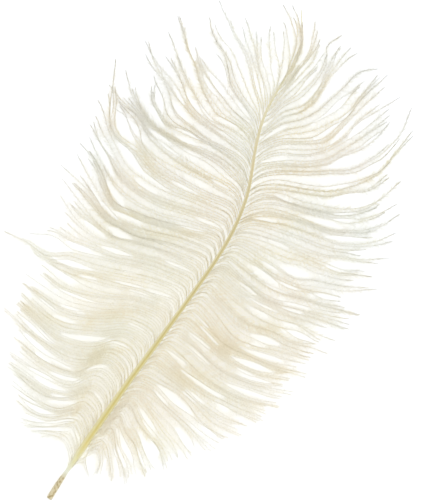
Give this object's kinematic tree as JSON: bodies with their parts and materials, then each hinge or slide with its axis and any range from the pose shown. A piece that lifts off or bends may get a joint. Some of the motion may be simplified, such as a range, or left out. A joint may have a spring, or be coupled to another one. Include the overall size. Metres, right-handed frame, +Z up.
{
  "type": "ostrich feather",
  "caption": "Cream ostrich plume, 305 mm long, lying flat: a golden quill with a dry cut root end and drooping locks of soft barbs on both sides.",
  "frame": {"origin": "middle of the feather's outline seen from above, at the level of the table that it lies on", "axes": "+Y along the feather's chord from the root end to the tip, +X across it, to the right with the tip pointing away, +Z up from the table"},
  "size_m": [0.1986, 0.3055, 0.0197],
  "materials": {
    "feather": "soft cream keratin barbs on a golden ochre quill"
  },
  "bodies": {
    "root": {"feather": "feather"}
  },
  "joints": []
}
